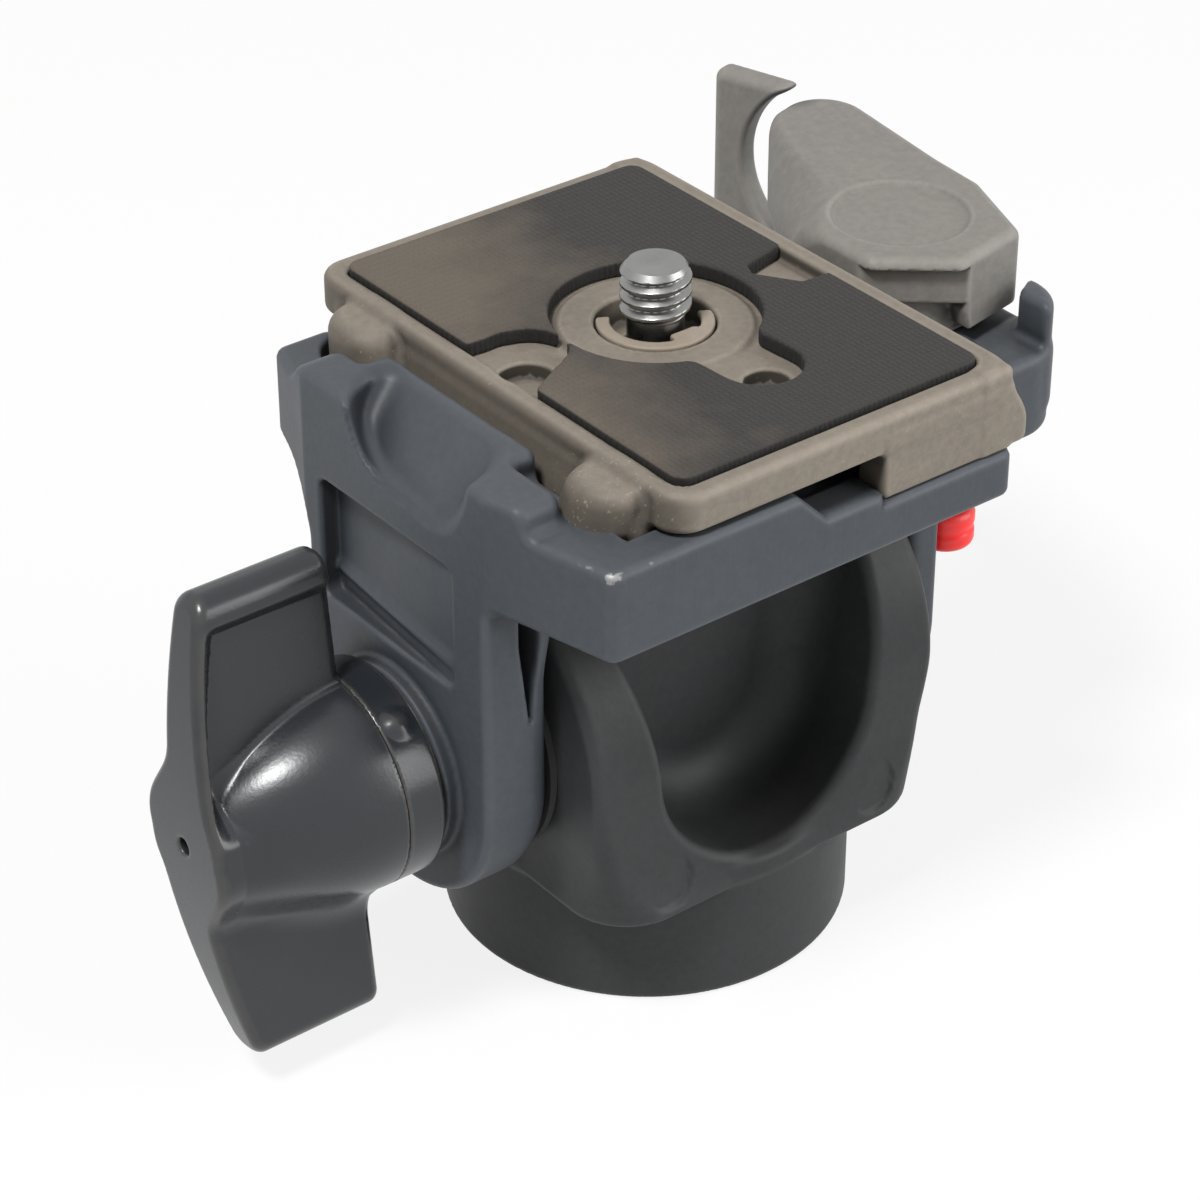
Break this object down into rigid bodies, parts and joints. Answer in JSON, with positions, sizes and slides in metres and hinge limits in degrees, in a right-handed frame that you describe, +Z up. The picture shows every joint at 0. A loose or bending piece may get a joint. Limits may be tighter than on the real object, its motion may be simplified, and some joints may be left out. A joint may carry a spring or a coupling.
{
  "type": "tilt head",
  "caption": "Monopod tilt head: a yoke base with a tripod socket, a tilting platform with a quick-release plate, lever and safety catch, and a winged locking knob.",
  "frame": {"origin": "centre of the mouth of the threaded socket, on the bottom face of the round foot", "axes": "+Z up, +X along the tilt axis towards the quick-release lever with the knob at -X, front at -Y"},
  "size_m": [0.0912, 0.059, 0.0659],
  "materials": {
    "cast_base": "satin black paint on cast aluminium",
    "cast_head": "dark slate paint on cast aluminium",
    "plate_metal": "worn taupe paint on cast aluminium",
    "lever_metal": "warm grey paint on cast aluminium",
    "pad_rubber": "ribbed, dusty",
    "knob_plastic": "satin-gloss moulded",
    "catch_plastic": "red moulded",
    "steel": "turned, zinc plated",
    "spring_steel": "drawn wire",
    "brass": "turned",
    "nylon": "stamped sheet"
  },
  "bodies": {
    "base": {"base_yoke": "cast_base", "base_bush": "steel", "axle_sleeve": "brass", "knob_side_washer": "nylon", "lever_side_washer": "nylon"},
    "head": {"head_body": "cast_head", "tilt_bolt": "steel", "knob_seat_washer": "steel", "qr_plate": "plate_metal", "plate_pad": "pad_rubber", "screw_clip": "steel", "lever_pivot": "steel", "lever_spring": "spring_steel", "catch_spring": "spring_steel", "plate_trigger": "brass", "trigger_spring": "spring_steel"},
    "knob": {"knob_collar": "knob_plastic", "knob_wing": "knob_plastic", "knob_insert": "brass"},
    "lever": {"lever_arm": "lever_metal", "lever_bush": "brass"},
    "catch": {"catch_pin": "steel", "catch_button": "catch_plastic"},
    "stud": {"camera_screw": "steel", "screw_ring": "steel"}
  },
  "joints": [
    {"name": "head_tilt", "type": "hinge", "parent": "base", "child": "head", "pos_m": [0, 0, 0.0264], "axis": [1, 0, 0], "range_deg": [-90, 90]},
    {"name": "knob_turn", "type": "hinge", "parent": "head", "child": "knob", "pos_m": [-0.04, 0, 0.0264], "axis": [-1, 0, 0], "range_deg": [0, 360]},
    {"name": "lever_swing", "type": "hinge", "parent": "head", "child": "lever", "pos_m": [0.0298, 0.0005, 0.056], "axis": [0, 0, -1], "range_deg": [0, 45], "stiffness_Nm_per_rad": 0.06, "springref_deg": -34.38},
    {"name": "catch_pull", "type": "slide", "parent": "head", "child": "catch", "axis": [0, 0, -1], "range_m": [0, 0.003], "stiffness_N_per_m": 250, "springref_m": -0.004, "deforming": ["catch_spring"]},
    {"name": "stud_turn", "type": "hinge", "parent": "head", "child": "stud", "pos_m": [0.0007, 0, 0.06], "axis": [0, 0, 1], "continuous": true}
  ]
}
